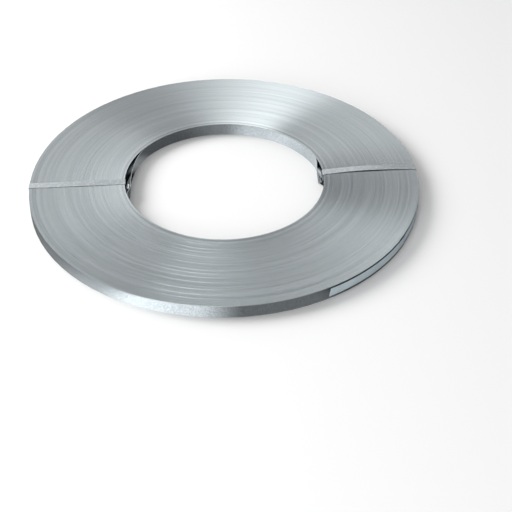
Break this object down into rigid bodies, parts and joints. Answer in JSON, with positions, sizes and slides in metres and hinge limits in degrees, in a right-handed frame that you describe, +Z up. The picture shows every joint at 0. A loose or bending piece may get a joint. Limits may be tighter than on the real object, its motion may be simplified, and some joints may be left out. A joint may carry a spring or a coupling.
{
  "type": "steel strapping coil",
  "caption": "Flat ring coil of narrow galvanised steel strapping wound turn on turn round an open bore, held by looped steel ties, with a pale tape on the outer turn.",
  "frame": {"origin": "on the winding axis, at the level of the floor under the ties", "axes": "+Z up along the winding axis, +X to the right and +Y to the back, with the tape at the front right"},
  "size_m": [0.3929, 0.392, 0.0155],
  "materials": {
    "strip_steel": "bright galvanised strip, wound edges satin",
    "tie_steel": "mottled galvanised",
    "tape": "matte"
  },
  "bodies": {
    "root": {"strip_coil": "strip_steel", "tie_left": "tie_steel", "tie_right": "tie_steel", "end_tape": "tape"}
  },
  "joints": []
}
